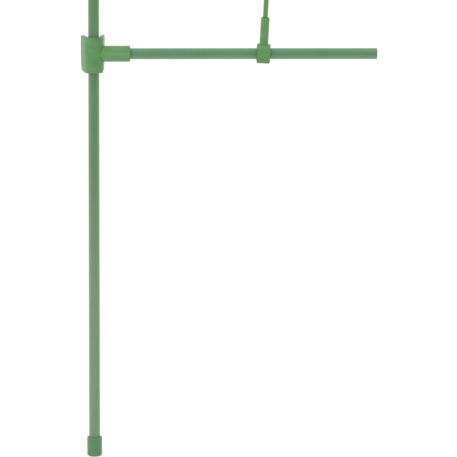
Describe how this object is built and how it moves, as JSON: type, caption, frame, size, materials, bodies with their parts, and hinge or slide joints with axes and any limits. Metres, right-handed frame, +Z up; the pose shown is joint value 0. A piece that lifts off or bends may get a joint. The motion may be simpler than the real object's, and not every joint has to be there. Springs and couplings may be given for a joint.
{
  "type": "plant support",
  "caption": "Coated steel garden stake with two clip-on arms and a thin climbing rod held between them by snap clips.",
  "frame": {"origin": "centre of the foot cap's lower face, on the stake's axis", "axes": "+Z up along the stake, +X along both arms, connector mouths open towards +Y"},
  "size_m": [0.2938, 0.0207, 0.7566],
  "materials": {
    "green_skin": "satin, fine lengthwise marks",
    "green_cap": "satin",
    "moulded_green": "satin moulded",
    "rod_skin": "satin",
    "steel": "drawn"
  },
  "bodies": {
    "foot": {"foot_cap": "green_cap"},
    "stake": {"stake_core": "steel", "stake_coating": "green_skin", "top_cap": "green_cap"},
    "lower_connector": {"lower_connector": "moulded_green"},
    "upper_connector": {"upper_connector": "moulded_green"},
    "lower_arm": {"lower_arm_core": "steel", "lower_arm_coating": "green_skin"},
    "upper_arm": {"upper_arm_core": "steel", "upper_arm_coating": "green_skin"},
    "lower_rod_clip": {"lower_rod_clip": "moulded_green"},
    "upper_rod_clip": {"upper_rod_clip": "moulded_green"},
    "thin_rod": {"rod_core": "steel", "rod_coating": "rod_skin"}
  },
  "joints": [
    {"name": "stake_turn", "type": "hinge", "parent": "foot", "child": "stake", "pos_m": [0, 0, 0.02], "axis": [0, 0, 1], "continuous": true},
    {"name": "lower_height", "type": "slide", "parent": "stake", "child": "lower_connector", "axis": [0, 0, 1], "range_m": [-0.37, 0.007]},
    {"name": "upper_height", "type": "slide", "parent": "stake", "child": "upper_connector", "axis": [0, 0, 1], "range_m": [-0.37, 0.007]},
    {"name": "lower_arm_turn", "type": "hinge", "parent": "lower_connector", "child": "lower_arm", "pos_m": [0.03, 0, 0.411], "axis": [1, 0, 0], "continuous": true},
    {"name": "upper_arm_turn", "type": "hinge", "parent": "upper_connector", "child": "upper_arm", "pos_m": [0.03, 0, 0.711], "axis": [1, 0, 0], "continuous": true},
    {"name": "lower_clip_slide", "type": "slide", "parent": "lower_connector", "child": "lower_rod_clip", "axis": [1, 0, 0], "range_m": [-0.123, 0.085]},
    {"name": "upper_clip_slide", "type": "slide", "parent": "upper_connector", "child": "upper_rod_clip", "axis": [1, 0, 0], "range_m": [-0.123, 0.085]},
    {"name": "thin_rod_turn", "type": "hinge", "parent": "lower_rod_clip", "child": "thin_rod", "pos_m": [0.1681, 0, 0.411], "axis": [0.0506, 0, 0.9987], "continuous": true}
  ],
  "couplings": [
    {"joint": "upper_height", "follows": "lower_height", "ratio": 1},
    {"joint": "upper_clip_slide", "follows": "lower_clip_slide", "ratio": 1}
  ]
}
